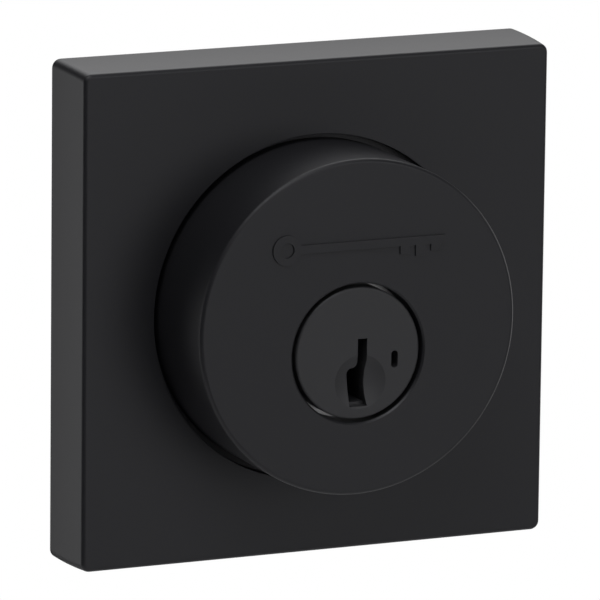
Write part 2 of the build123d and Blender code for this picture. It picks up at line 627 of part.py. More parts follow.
# Tailpiece: a tabbed disc in the plug's rear recess and the long blade that turns the bolt.
with BuildPart() as tailpiece:
    with BuildSketch(facing(TAIL_REAR)):
        Circle(TAIL_DISC)
        for start in (-TAB_SPREAD / 2, HALF_TURN - TAB_SPREAD / 2):
            with BuildLine():
                tab_rim = CenterArc((0, 0), TAIL_TAB, start, TAB_SPREAD)
                Polyline(tab_rim @ 1, (0, 0), tab_rim @ 0)
            make_face()
    extrude(amount=TAIL_REAR - TAIL_FRONT)
    with BuildSketch(facing(BLADE_END)):
        Rectangle(BLADE_THICKNESS, BLADE_HEIGHT)
    extrude(amount=BLADE_END - TAIL_REAR)
    blade_tip = tailpiece.faces().sort_by(Axis.Y)[-1].edges().filter_by(Axis.X)
    chamfer(blade_tip, BLADE_TIP_CUT)
tailpiece.part.label = "tailpiece"
export_step(tailpiece.part, "parts/tailpiece.step")

with BuildPart() as tail_cap:
    with BuildSketch(facing(BARREL_REAR + CAP_THICKNESS)):
        Circle(CAP)
        Circle(CAP_HOLE, mode=Mode.SUBTRACT)
        with PolarLocations(CAP_SCREW_CIRCLE, 2, start_angle=CAP_SCREW_TURN):
            Circle(CAP_SCREW_CLEARANCE, mode=Mode.SUBTRACT)
    extrude(amount=CAP_THICKNESS)
tail_cap.part.label = "tail_cap"
export_step(tail_cap.part, "parts/tail_cap.step")

with BuildPart() as tail_cap_screws:
    with BuildSketch(facing(BARREL_REAR + CAP_THICKNESS)):
        with PolarLocations(CAP_SCREW_CIRCLE, 2, start_angle=CAP_SCREW_TURN):
            Circle(CAP_SCREW)
    extrude(amount=BARREL_REAR + CAP_THICKNESS - CAP_SCREW_END)
    with BuildSketch(facing(BARREL_REAR + CAP_THICKNESS + CAP_SCREW_HEAD_HEIGHT)):
        with PolarLocations(CAP_SCREW_CIRCLE, 2, start_angle=CAP_SCREW_TURN):
            Circle(CAP_SCREW_HEAD)
    extrude(amount=CAP_SCREW_HEAD_HEIGHT)
tail_cap_screws.part.label = "tail_cap_screws"
export_step(tail_cap_screws.part, "parts/tail_cap_screws.step")
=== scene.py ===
import json
from math import atan2, cos, pi, radians, sin, sqrt

import bmesh
import bpy
from mathutils import Matrix, Vector

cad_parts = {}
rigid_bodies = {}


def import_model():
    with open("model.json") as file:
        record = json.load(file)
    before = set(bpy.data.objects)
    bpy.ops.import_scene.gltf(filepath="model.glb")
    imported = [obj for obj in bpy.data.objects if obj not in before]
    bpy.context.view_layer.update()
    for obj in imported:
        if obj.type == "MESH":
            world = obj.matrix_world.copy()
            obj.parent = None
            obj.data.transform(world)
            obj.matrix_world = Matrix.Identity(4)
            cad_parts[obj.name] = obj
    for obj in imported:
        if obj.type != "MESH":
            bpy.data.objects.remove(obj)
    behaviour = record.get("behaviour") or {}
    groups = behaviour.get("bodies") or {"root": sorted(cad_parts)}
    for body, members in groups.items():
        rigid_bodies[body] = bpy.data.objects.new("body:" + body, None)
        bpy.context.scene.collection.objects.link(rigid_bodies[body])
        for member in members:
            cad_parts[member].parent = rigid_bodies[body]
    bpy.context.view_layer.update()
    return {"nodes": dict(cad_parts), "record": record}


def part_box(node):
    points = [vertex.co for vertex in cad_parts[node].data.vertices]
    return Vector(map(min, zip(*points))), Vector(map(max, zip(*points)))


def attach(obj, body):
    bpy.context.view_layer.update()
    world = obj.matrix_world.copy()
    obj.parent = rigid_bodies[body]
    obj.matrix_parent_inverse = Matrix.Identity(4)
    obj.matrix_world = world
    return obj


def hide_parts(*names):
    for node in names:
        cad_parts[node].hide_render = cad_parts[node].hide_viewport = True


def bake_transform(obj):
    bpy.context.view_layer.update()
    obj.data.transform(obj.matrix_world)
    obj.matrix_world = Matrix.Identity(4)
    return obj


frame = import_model()

bl_info = {
    "name": "Square-rose deadbolt",
    "version": (1, 0, 0),
    "blender": (4, 5, 0),
    "location": "3D View > Sidebar > Deadbolt",
    "description": "Models and finishes the outside half of a square-rose deadbolt around its packed frame",
    "category": "Add Mesh",
}

MM = 0.001
ROSE_LOW, ROSE_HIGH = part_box("rose_plate")
GUARD_LOW, GUARD_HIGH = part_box("cylinder_guard")
PLUG_LOW, PLUG_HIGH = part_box("key_plug")
PLATE_LOW, PLATE_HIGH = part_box("support_plate")
RING_LOW, RING_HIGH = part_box("adapter_ring")
POST_LOW, POST_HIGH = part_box("mounting_posts")
SCREW_LOW, SCREW_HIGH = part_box("rose_screws")
TAIL_LOW, TAIL_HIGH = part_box("tailpiece")
CAP_LOW, CAP_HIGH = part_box("tail_cap")
CAP_SCREW_LOW, CAP_SCREW_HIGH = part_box("tail_cap_screws")
TRIM = (0, (ROSE_LOW.z + ROSE_HIGH.z) / 2)
AXIS = (0, 0)
SLOTS = {part["node"]: part["material_slot"] for part in frame["record"]["subparts"]}
SMOOTH_ANGLE = radians(35)
ROUND = 192                 # sides of a large round piece
FINE = 48                   # sides of a small one
CLEAR = 2 * MM              # how far a cutter stands out of what it cuts
POST_X = 19 * MM            # the two posts stand this far left and right of the axis
POST_STEM = 2.5 * MM        # radius of the posts' riveted stems
PEEL_DEPTH = 0.03 * MM      # relief of a coating's orange peel
LINE_DEPTH = 0.02 * MM      # relief of a metal's drawn or turned lines


# ---------------------------------------------------------------- sizes and colours

class RoseSizes(bpy.types.PropertyGroup):
    front: bpy.props.FloatProperty(
        name="Front square", description="Side of the rose's front face, before its edges are rounded",
        default=66.7 * MM, unit="LENGTH")
    corner: bpy.props.FloatProperty(
        name="Corner radius", description="Radius of the rose's four side edges", default=1.2 * MM,
        unit="LENGTH")
    edge: bpy.props.FloatProperty(
        name="Edge radius", description="Radius of the edge round the front face", default=0.55 * MM,
        unit="LENGTH")
    crown: bpy.props.FloatProperty(
        name="Crown", description="How far the sides bulge", default=0.1 * MM, unit="LENGTH")
    wall: bpy.props.FloatProperty(
        name="Wall", description="Thickness of the rose's sides at the door", default=2.5 * MM, unit="LENGTH")
    face: bpy.props.FloatProperty(
        name="Face thickness", description="Thickness of the rose's front", default=2.2 * MM, unit="LENGTH")
    hole: bpy.props.FloatProperty(
        name="Hole radius", description="Radius of the hole for the guard", default=23.3 * MM, unit="LENGTH")
    boss: bpy.props.FloatProperty(
        name="Boss radius", description="Radius of the four screw bosses", default=3.2 * MM, unit="LENGTH")
    pilot: bpy.props.FloatProperty(
        name="Pilot radius", description="Radius of the hole in each boss", default=1.25 * MM, unit="LENGTH")
    spacing: bpy.props.FloatProperty(
        name="Screw spacing", description="Between neighbouring bosses", default=52 * MM, unit="LENGTH")


class GuardSizes(bpy.types.PropertyGroup):
    radius: bpy.props.FloatProperty(
        name="Radius", description="Radius of the round guard", default=22.5 * MM, unit="LENGTH")
    front: bpy.props.FloatProperty(
        name="Front", description="Depth of the guard's flat face", default=-24.15 * MM, unit="LENGTH")
    edge: bpy.props.FloatProperty(
        name="Edge radius", description="Radius of the guard's front edge", default=0.55 * MM, unit="LENGTH")
    face: bpy.props.FloatProperty(
        name="Face thickness", description="Thickness of the guard's front", default=3.85 * MM, unit="LENGTH")
    bore: bpy.props.FloatProperty(
        name="Bore radius", description="Radius of the room for the cylinder", default=13 * MM, unit="LENGTH")
    plug_hole: bpy.props.FloatProperty(
        name="Plug hole radius", description="Radius of the hole that the plug shows in", default=9.35 * MM,
        unit="LENGTH")
    hole_chamfer: bpy.props.FloatProperty(
        name="Hole chamfer", description="Width of the chamfer round the plug hole", default=0.24 * MM,
        unit="LENGTH")
    emblem_rise: bpy.props.FloatProperty(
        name="Emblem rise", description="From the guard's centre up to the raised key", default=11.1 * MM,
        unit="LENGTH")
    emblem_bow: bpy.props.FloatProperty(
        name="Emblem bow", description="Radius of the raised key's bow", default=2 * MM, unit="LENGTH")
    emblem_shaft: bpy.props.FloatProperty(
        name="Emblem shaft", description="Height of the raised key's shaft", default=1.15 * MM, unit="LENGTH")


class PlugSizes(bpy.types.PropertyGroup):
    head: bpy.props.FloatProperty(
        name="Head radius", description="Radius of the plug's head", default=8.85 * MM, unit="LENGTH")
    head_rear: bpy.props.FloatProperty(
        name="Head rear", description="Depth where the head steps down to the barrel", default=-20.3 * MM,
        unit="LENGTH")
    barrel: bpy.props.FloatProperty(
        name="Barrel radius", description="Radius of the plug's barrel", default=8 * MM, unit="LENGTH")
    edge: bpy.props.FloatProperty(
        name="Edge radius", description="Radius of the head's front edge", default=0.3 * MM, unit="LENGTH")
    dish: bpy.props.FloatProperty(
        name="Dish radius", description="Radius of the shallow dish round the keyway", default=3.65 * MM,
        unit="LENGTH")
    dish_depth: bpy.props.FloatProperty(
        name="Dish depth", description="Depth of the shallow dish round the keyway", default=0.4 * MM,
        unit="LENGTH")


class FinishColours(bpy.types.PropertyGroup):
    coating: bpy.props.FloatVectorProperty(
        name="Coating", description="Colour of the satin black coating", subtype="COLOR", size=3,
        default=(0.003, 0.003, 0.0031), min=0, max=1)
    plug: bpy.props.FloatVectorProperty(
        name="Plug", description="Colour of the plug's thin lacquer", subtype="COLOR", size=3,
        default=(0.0045, 0.0045, 0.0047), min=0, max=1)
    steel: bpy.props.FloatVectorProperty(
        name="Steel", description="Colour of the zinc-plated steel", subtype="COLOR", size=3,
        default=(0.62, 0.63, 0.64), min=0, max=1)
    casting: bpy.props.FloatVectorProperty(
        name="Casting", description="Colour of the bare zinc castings", subtype="COLOR", size=3,
        default=(0.42, 0.42, 0.43), min=0, max=1)
    brass: bpy.props.FloatVectorProperty(
        name="Brass", description="Colour of the turned brass", subtype="COLOR", size=3,
        default=(0.70, 0.53, 0.26), min=0, max=1)
    plastic: bpy.props.FloatVectorProperty(
        name="Plastic", description="Colour of the moulded plastic ring", subtype="COLOR", size=3,
        default=(0.06, 0.06, 0.065), min=0, max=1)


class StageSettings(bpy.types.PropertyGroup):
    azimuth: bpy.props.FloatProperty(
        name="Azimuth", description="How far left of straight ahead the camera stands",
        default=radians(23.646), subtype="ANGLE")
    elevation: bpy.props.FloatProperty(
        name="Elevation", description="How far above level the camera stands", default=radians(12.232),
        subtype="ANGLE")
    roll: bpy.props.FloatProperty(
        name="Roll", description="Turn of the camera about its own view line", default=radians(0.634),
        subtype="ANGLE")
    distance: bpy.props.FloatProperty(
        name="Distance", description="From the rose's centre at the door to the camera", default=0.98944,
        unit="LENGTH")
    lens: bpy.props.FloatProperty(
        name="Focal length", description="Focal length of the camera in millimetres", default=443.74)
    shift_x: bpy.props.FloatProperty(
        name="Shift X", description="Sideways shift of the frame", default=0.0248)
    shift_y: bpy.props.FloatProperty(
        name="Shift Y", description="Upward shift of the frame", default=-0.01468)


# ---------------------------------------------------------------- outlines

def arc(centre, radius, first, last, count=12):
    """Points (x, z) on an arc between two angles."""
    return [(centre[0] + radius * cos(first + (last - first) * k / count),
             centre[1] + radius * sin(first + (last - first) * k / count)) for k in range(count + 1)]


def short_arc(centre, start, end, count):
    """Points on the shorter arc about centre from start to end."""
    first = atan2(start[1] - centre[1], start[0] - centre[0])
    last = atan2(end[1] - centre[1], end[0] - centre[0])
    turn = (last - first + pi) % (2 * pi) - pi
    radius = sqrt((start[0] - centre[0]) ** 2 + (start[1] - centre[1]) ** 2)
    return arc(centre, radius, first, first + turn, count)


def swing(start, end, away, count=8):
    """Points on the arc from start to end that leaves start in the direction away."""
    across, up = end[0] - start[0], end[1] - start[1]
    side = (-away[1], away[0])
    radius = (across ** 2 + up ** 2) / (2 * (side[0] * across + side[1] * up))
    return short_arc((start[0] + side[0] * radius, start[1] + side[1] * radius), start, end, count)


def bowed(start, end, depth, count=14):
    """Points on the arc from start to end that bows to its right by depth."""
    across, up = end[0] - start[0], end[1] - start[1]
    length = sqrt(across ** 2 + up ** 2)
    back = (length ** 2 / 4 - depth ** 2) / (2 * depth)
    centre = ((start[0] + end[0]) / 2 - up / length * back, (start[1] + end[1]) / 2 + across / length * back)
    return short_arc(centre, start, end, count)


def rounded(depth, radius, edge, count=6):
    """Lathe steps for a rounded edge round a front face at this depth."""
    angles = [pi / 2 * k / count for k in range(count + 1)]
    return [(depth + edge - edge * sin(angle), radius - edge + edge * cos(angle)) for angle in angles]


# ---------------------------------------------------------------- hand tools

def pick(kind, test):
    """Selects the open mesh's faces, edges or verts that pass the test, and nothing else."""
    bpy.ops.mesh.select_mode(type=kind)
    bpy.ops.mesh.select_all(action="DESELECT")
    mesh = bmesh.from_edit_mesh(bpy.context.edit_object.data)
    for element in {"FACE": mesh.faces, "EDGE": mesh.edges, "VERT": mesh.verts}[kind]:
        if test(element):
            element.select_set(True)
    mesh.select_flush_mode()
    bmesh.update_edit_mesh(bpy.context.edit_object.data)


def middle(edge):
    return (edge.verts[0].co + edge.verts[1].co) / 2


def sharp(edge, angle=radians(50)):
    return len(edge.link_faces) == 2 and edge.calc_face_angle(0) > angle


def from_axis(edge):
    """How far the edge's middle is from the plug's axis."""
    place = middle(edge)
    return Vector((place.x, place.z)).length


def near(value, target, slack=0.01 * MM):
    return abs(value - target) < slack


def activate(piece):
    bpy.ops.object.select_all(action="DESELECT")
    bpy.context.view_layer.objects.active = piece
    piece.select_set(True)


def start(name, add, **where):
    """Adds a primitive with nothing else selected, and opens it in edit mode."""
    bpy.ops.object.select_all(action="DESELECT")
    add(**where)
    piece = bpy.context.object
    piece.name = name
    piece.data.name = name
    bpy.ops.object.transform_apply(location=True, rotation=True, scale=True)
    bpy.ops.object.mode_set(mode="EDIT")
    bpy.ops.mesh.select_mode(type="VERT")
    bpy.ops.mesh.select_all(action="SELECT")
    return piece


def enter(piece):
    activate(piece)
    bpy.ops.object.mode_set(mode="EDIT")


def leave():
    bpy.ops.object.mode_set(mode="OBJECT")


def close_up():
    """Merges what meets, turns the normals outward and leaves edit mode."""
    bpy.ops.mesh.select_all(action="SELECT")
    bpy.ops.mesh.remove_doubles(threshold=0.001 * MM)
    bpy.ops.mesh.normals_make_consistent(inside=False)
    leave()


def lathe(name, steps, centre=AXIS, sides=ROUND, hollow=False):
    """Turns (depth, radius) steps about a line along Y into a solid, or into a ring that closes on itself."""
    x, z = centre
    depth, radius = steps[0]
    piece = start(name, bpy.ops.mesh.primitive_circle_add, vertices=sides, radius=radius,
                  fill_type="NOTHING" if hollow else "NGON", location=(x, depth, z), rotation=(pi / 2, 0, 0))
    for next_depth, next_radius in [*steps[1:], steps[0]] if hollow else steps[1:]:
        bpy.ops.mesh.extrude_region_move(TRANSFORM_OT_translate={"value": (0, next_depth - depth, 0)})
        ratio = next_radius / radius
        bpy.ops.transform.resize(value=(ratio, 1, ratio), center_override=(x, next_depth, z))
        depth, radius = next_depth, next_radius
    close_up()
    return piece


def prism(name, outline, rear, front):
    """A solid with this (x, z) outline, from depth rear to depth front."""
    piece = start(name, bpy.ops.mesh.primitive_circle_add, vertices=len(outline), fill_type="NGON")
    mesh = bmesh.from_edit_mesh(piece.data)
    for vert, (x, z) in zip(mesh.verts, outline):
        vert.co = (x, rear, z)
    bmesh.update_edit_mesh(piece.data)
    bpy.ops.mesh.extrude_region_move(TRANSFORM_OT_translate={"value": (0, front - rear, 0)})
    close_up()
    return piece


def block(name, low, high):
    """A rectangular block between two corners."""
    low, high = Vector(low), Vector(high)
    piece = start(name, bpy.ops.mesh.primitive_cube_add, size=1, location=(low + high) / 2, scale=high - low)
    leave()
    return piece


def rod(name, radius, low, high):
    """A plain round cutter between two points on a line along X or Z."""
    low, high = Vector(low), Vector(high)
    turn = (high - low).to_track_quat("Z", "Y").to_euler()
    piece = start(name, bpy.ops.mesh.primitive_cylinder_add, vertices=FINE, radius=radius,
                  depth=(high - low).length, location=(low + high) / 2, rotation=turn)
    leave()
    return piece


def apply(piece, kind, **settings):
    """Adds one modifier with its settings and applies it."""
    activate(piece)
    modifier = piece.modifiers.new(kind.title(), kind)
    for key, value in settings.items():
        setattr(modifier, key, value)
    bpy.ops.object.modifier_apply(modifier=modifier.name)


def cut(piece, *cutters, operation="DIFFERENCE"):
    """Takes each cutter's solid out of the piece, or joins it on with UNION, and removes the cutter."""
    for cutter in cutters:
        apply(piece, "BOOLEAN", object=cutter, operation=operation, solver="EXACT")
        bpy.data.objects.remove(cutter)


def ease(piece, width, test, segments=3):
    """Rounds the edges that pass the test."""
    enter(piece)
    pick("EDGE", test)
    bpy.ops.mesh.bevel(offset=width, segments=segments, affect="EDGES", clamp_overlap=True)
    leave()


def merged(name, pieces):
    """Joins separate solids into one piece."""
    activate(pieces[0])
    for piece in pieces:
        piece.select_set(True)
    bpy.ops.object.join()
    pieces[0].name = name
    pieces[0].data.name = name
    return pieces[0]


def turned(piece, angle):
    """Turns the whole mesh about the plug's axis."""
    enter(piece)
    bpy.ops.mesh.select_all(action="SELECT")
    bpy.ops.transform.rotate(value=angle, orient_axis="Y", center_override=(0, 0, 0))
    leave()


def fitted(piece, body, slot, nodes):
    """Shades the piece, gives it its finish, and fixes it to its body in place of its nodes."""
    activate(piece)
    bpy.ops.object.shade_smooth_by_angle(angle=SMOOTH_ANGLE)
    apply(piece, "WEIGHTED_NORMAL", keep_sharp=True, weight=100)
    piece.data.materials.clear()
    piece.data.materials.append(bpy.data.materials[slot])
    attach(piece, body)
    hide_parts(*nodes)


def recut(node, body, slot, edge):
    """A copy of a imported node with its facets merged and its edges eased."""
    activate(frame["nodes"][node])
    bpy.ops.object.duplicate()
    piece = bpy.context.object
    bpy.ops.object.parent_clear(type="CLEAR_KEEP_TRANSFORM")
    for key in list(piece.keys()):
        del piece[key]
    piece.name = node + "_made"
    piece.data.name = piece.name
    enter(piece)
    bpy.ops.mesh.select_all(action="SELECT")
    bpy.ops.mesh.remove_doubles(threshold=0.001 * MM)
    bpy.ops.mesh.dissolve_limited(angle_limit=radians(1))
    leave()
    apply(piece, "BEVEL", width=edge, segments=2, limit_method="ANGLE", angle_limit=radians(50))
    fitted(piece, body, slot, [node])


def coil(name, radius, wire, length, turns=6, steps=14):
    """A compression spring along Z from the origin, with a closed coil at each end."""
    piece = start(name, bpy.ops.mesh.primitive_circle_add, vertices=8, radius=wire / 2, fill_type="NGON",
                  location=(radius - wire / 2, 0, wire / 2), rotation=(pi / 2, 0, 0))
    open_pitch = (length - wire - 2 * wire) / (turns - 2)
    for step in range(turns * steps):
        ends = step < steps or step >= (turns - 1) * steps
        rise = (wire if ends else open_pitch) / steps
        bpy.ops.mesh.extrude_region_move(TRANSFORM_OT_translate={"value": (0, 0, rise)})
        bpy.ops.transform.rotate(value=2 * pi / steps, orient_axis="Z", center_override=(0, 0, 0))
    close_up()
    return piece


# ---------------------------------------------------------------- finishes

def adder(tree):
    """A function that adds a node to this tree, with its settings and its inputs' values or links."""
    def add(kind, inputs=(), **settings):
        node = tree.nodes.new(kind)
        for key, value in settings.items():
            setattr(node, key, value)
        for key, value in dict(inputs).items():
            if isinstance(value, bpy.types.NodeSocket):
                tree.links.new(value, node.inputs[key])
            else:
                node.inputs[key].default_value = value
        return node

    return add


def shader_of(name):
    """A new material, its Principled shader, a function that adds nodes, and one that links a socket."""
    material = bpy.data.materials.new(name)
    material.use_nodes = True
    tree = material.node_tree
    shader = tree.nodes["Principled BSDF"]

    def link(output, socket):
        tree.links.new(output, shader.inputs[socket])

    return material, shader, adder(tree), link


def grain(add, scale, detail=2.0, rough=0.5, stretch=(1, 1, 1)):
    """Noise on the object's own coordinates."""
    place = add("ShaderNodeTexCoord").outputs["Object"]
    mapped = add("ShaderNodeMapping", {"Vector": place, "Scale": stretch}).outputs["Vector"]
    noise = add("ShaderNodeTexNoise",
                {"Vector": mapped, "Scale": scale, "Detail": detail, "Roughness": rough})
    return noise.outputs["Fac"]


def spread(add, value, low, high):
    """Maps a 0 to 1 value into a range."""
    return add("ShaderNodeMapRange", {"Value": value, "To Min": low, "To Max": high}).outputs["Result"]


def tinted(add, value, dark, light):
    """Blends two colours by a value."""
    ramp = add("ShaderNodeValToRGB", {"Fac": value})
    ramp.color_ramp.elements[0].color = (*dark, 1)
    ramp.color_ramp.elements[0].position = 0.3
    ramp.color_ramp.elements[1].color = (*light, 1)
    ramp.color_ramp.elements[1].position = 0.7
    return ramp.outputs["Color"]


def scaled(colour, factor):
    return tuple(min(1.0, channel * factor) for channel in colour)


def coating(name, colour, roughness, pebble, bump):
    """A sprayed satin coating: fine orange peel, and slow changes of gloss and tone."""
    _, shader, add, link = shader_of(name)
    cloud = grain(add, 90, detail=4)
    link(tinted(add, cloud, scaled(colour, 0.88), scaled(colour, 1.12)), "Base Color")
    link(spread(add, cloud, roughness - 0.04, roughness + 0.04), "Roughness")
    peel = grain(add, 1 / pebble, detail=3)
    bumped = add("ShaderNodeBump", {"Strength": bump, "Distance": PEEL_DEPTH, "Height": peel})
    link(bumped.outputs["Normal"], "Normal")
    shader.inputs["IOR"].default_value = 1.5


def metal(name, colour, roughness, scale, bump, stretch=(1, 1, 1), blotch=0.12):
    """A bare metal with fine drawn or turned lines and faint blotches."""
    _, shader, add, link = shader_of(name)
    lines = grain(add, scale, detail=3, rough=0.6, stretch=stretch)
    cloud = grain(add, 160, detail=4)
    link(tinted(add, cloud, scaled(colour, 1 - blotch), scaled(colour, 1 + blotch)), "Base Color")
    link(spread(add, cloud, roughness - 0.07, roughness + 0.07), "Roughness")
    bumped = add("ShaderNodeBump", {"Strength": bump, "Distance": LINE_DEPTH, "Height": lines})
    link(bumped.outputs["Normal"], "Normal")
    shader.inputs["Metallic"].default_value = 1.0


class DEADBOLT_OT_finishes(bpy.types.Operator):
    """Makes one finish for each of the record's material slots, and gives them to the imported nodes"""
    bl_idname = "deadbolt.finishes"
    bl_label = "Finishes"

    def execute(self, context):
        colours = context.scene.deadbolt_colours
        steel = tuple(colours.steel)
        brass, casting = tuple(colours.brass), tuple(colours.casting)
        coating("black_coating", tuple(colours.coating), roughness=0.26, pebble=0.25 * MM, bump=0.2)
        coating("plug_coating", tuple(colours.plug), roughness=0.22, pebble=0.12 * MM, bump=0.1)
        coating("moulded_plastic", tuple(colours.plastic), roughness=0.52, pebble=0.18 * MM, bump=0.5)
        metal("zinc_plated_steel", steel, roughness=0.34, scale=900, bump=0.25)
        metal("zinc_casting", casting, roughness=0.45, scale=1600, bump=0.5)
        metal("brass", brass, roughness=0.28, scale=500, bump=0.2, stretch=(0.2, 6, 0.2))
        metal("hardened_steel", scaled(steel, 0.72), roughness=0.24, scale=700, bump=0.2, stretch=(8, 0.3, 1))
        metal("spring_steel", scaled(steel, 0.85), roughness=0.22, scale=1200, bump=0.1)
        for name, node in frame["nodes"].items():
            node.data.materials.clear()
            node.data.materials.append(bpy.data.materials[SLOTS[name]])
        return {"FINISHED"}


# ---------------------------------------------------------------- rose, guard and plug

def boss_places(rose):
    """(x, z) of the rose's four screws."""
    half = rose.spacing / 2
    return [(x, TRIM[1] + z) for x in (-half, half) for z in (-half, half)]


class DEADBOLT_OT_rose(bpy.types.Operator):
    """Models the square rose: a drafted casting, open at the back, with four screw bosses"""
    bl_idname = "deadbolt.rose"
    bl_label = "Rose"

    def execute(self, context):
        rose = context.scene.deadbolt_rose
        depth = ROSE_HIGH.y - ROSE_LOW.y
        piece = block("rose", ROSE_LOW, ROSE_HIGH)
        enter(piece)
        pick("FACE", lambda face: face.normal.y < -0.9)
        ratio = rose.front / (ROSE_HIGH.x - ROSE_LOW.x)
        bpy.ops.transform.resize(value=(ratio, 1, ratio), center_override=(0, ROSE_LOW.y, TRIM[1]))
        pick("FACE", lambda face: face.normal.y > 0.9)
        bpy.ops.mesh.inset(thickness=rose.wall)
        bpy.ops.mesh.extrude_region_move(TRANSFORM_OT_translate={"value": (0, rose.face - depth, 0)})
        pick("EDGE", lambda edge: abs(edge.verts[0].co.y - edge.verts[1].co.y) > depth / 2)
        bpy.ops.mesh.bevel(offset=rose.corner, segments=8, affect="EDGES")
        pick("EDGE", lambda edge: near(middle(edge).y, ROSE_LOW.y))
        bpy.ops.mesh.bevel(offset=rose.edge, segments=6, affect="EDGES")
        self.crown(rose)
        leave()
        floor = ROSE_LOW.y + rose.face
        cut(piece, lathe("hole", [(floor + CLEAR, rose.hole), (ROSE_LOW.y - CLEAR, rose.hole)], TRIM))
        for place in boss_places(rose):
            boss = lathe("boss", [(floor - CLEAR / 4, rose.boss), (PLATE_LOW.y, rose.boss)], place, FINE)
            cut(piece, boss, operation="UNION")
        pilot_floor = floor + 0.7 * MM
        for place in boss_places(rose):
            steps = [(pilot_floor, rose.pilot), (PLATE_LOW.y + CLEAR, rose.pilot)]
            cut(piece, lathe("pilot", steps, place, FINE))
        hole_edge = 0.12 * MM
        ease(piece, hole_edge, lambda edge: sharp(edge) and near(middle(edge).y, ROSE_LOW.y), segments=2)
        fitted(piece, "housing", "black_coating", ["rose_plate"])
        return {"FINISHED"}

    def crown(self, rose, rings=5):
        """Bulges the four drafted sides by a hair between the door and the front edge."""
        half, rim = ROSE_HIGH.x, 1.2 * MM
        shares = [ring / (rings + 1) for ring in range(1, rings + 1)]
        depths = [(ROSE_LOW.y + rose.edge) * share for share in shares]
        for depth in depths:
            bpy.ops.mesh.select_all(action="SELECT")
            bpy.ops.mesh.bisect(plane_co=(0, depth, 0), plane_no=(0, 1, 0))
        for share, depth in zip(shares, depths):
            flat = half + (rose.front / 2 - half) * depth / ROSE_LOW.y
            ratio = min(half, flat + 4 * rose.crown * share * (1 - share)) / flat
            pick("VERT", lambda vert: near(vert.co.y, depth)
                 and max(abs(vert.co.x), abs(vert.co.z - TRIM[1])) > half - rim)
            bpy.ops.transform.resize(value=(ratio, 1, ratio), center_override=(0, depth, TRIM[1]))


class DEADBOLT_OT_guard(bpy.types.Operator):
    """Models the round guard with its plug hole, cylinder bore, flange and raised key emblem"""
    bl_idname = "deadbolt.guard"
    bl_label = "Guard"

    def execute(self, context):
        guard = context.scene.deadbolt_guard
        rose = context.scene.deadbolt_rose
        flange_front = ROSE_LOW.y + rose.face
        floor = guard.front + guard.face
        steps = [(GUARD_HIGH.y, GUARD_HIGH.x), (flange_front, GUARD_HIGH.x), (flange_front, guard.radius)]
        piece = lathe("guard", steps + rounded(guard.front, guard.radius, guard.edge), TRIM)
        cut(piece, lathe("bore", [(GUARD_HIGH.y + CLEAR, guard.bore), (floor, guard.bore)]))
        lip = guard.front + guard.hole_chamfer
        wide = guard.plug_hole + guard.hole_chamfer
        cut(piece, lathe("plug hole", [(floor + CLEAR, guard.plug_hole), (lip, guard.plug_hole),
                                       (guard.front, wide), (guard.front - CLEAR, wide)]))
        broken = 0.04 * MM
        ease(piece, broken, lambda edge: sharp(edge, radians(30)) and middle(edge).y < lip + broken / 4
             and from_axis(edge) < wide + broken)
        cut(piece, self.emblem(guard), operation="UNION")
        fitted(piece, "housing", "black_coating", ["cylinder_guard"])
        return {"FINISHED"}

    def emblem(self, guard):
        """A raised key, lying level: its bow on the left, and three teeth that hang from its tip's end."""
        z = TRIM[1] + guard.emblem_rise
        bow_x, tip_x = -10.4 * MM, 12.2 * MM
        teeth = ((6.4 * MM, 1.1 * MM), (8.6 * MM, 1.5 * MM), (10.8 * MM, 0.9 * MM))     # place and length
        half, half_tooth = guard.emblem_shaft / 2, 0.65 * MM
        rear = guard.front + 0.5 * MM
        bow = lathe("bow", [(rear, guard.emblem_bow), (GUARD_LOW.y, guard.emblem_bow)], (bow_x, z), 64)
        shaft_x = bow_x + guard.emblem_bow - half
        shaft = block("shaft", (shaft_x, GUARD_LOW.y, z - half), (tip_x, rear, z + half))
        cut(bow, shaft, operation="UNION")
        for tooth_x, drop in teeth:
            tooth = block("tooth", (tooth_x - half_tooth, GUARD_LOW.y, z - half - drop),
                          (tooth_x + half_tooth, rear, z))
            cut(bow, tooth, operation="UNION")
        eye = guard.emblem_bow / 2
        cut(bow, lathe("eye", [(rear + CLEAR, eye), (GUARD_LOW.y - CLEAR, eye)], (bow_x, z), FINE))
        ease(bow, 0.09 * MM, lambda edge: sharp(edge) and near(middle(edge).y, GUARD_LOW.y))
        return bow


def keyway_outline(ledge=0):
    """The keyway's section: a stem, and below it a belly on the left. Its floor rises by ledge."""
    stem_end, shoulder, belly_top = (0, -1.2 * MM), (-0.7 * MM, -2.0 * MM), (-1.47 * MM, -2.9 * MM)
    top, floor = 1.9 * MM, -7.2 * MM
    stem_right, floor_right = (1.34 * MM, -1.2 * MM), (1.45 * MM, floor)
    outline = [(0, top), (stem_right[0], top), *bowed(stem_right, floor_right, 0.37 * MM),
               (-1.07 * MM, floor), *reversed(swing(shoulder, belly_top, (-1, 0))),
               *reversed(swing(stem_end, shoulder, (0, -1)))]
    return [(x, max(z, ledge + floor)) for x, z in outline]


def slot_outline(x, z, length, width):
    """An upright slot with round ends."""
    rise, radius = (length - width) / 2, width / 2
    return arc((x, z + rise), radius, 0, pi) + arc((x, z - rise), radius, pi, 2 * pi)


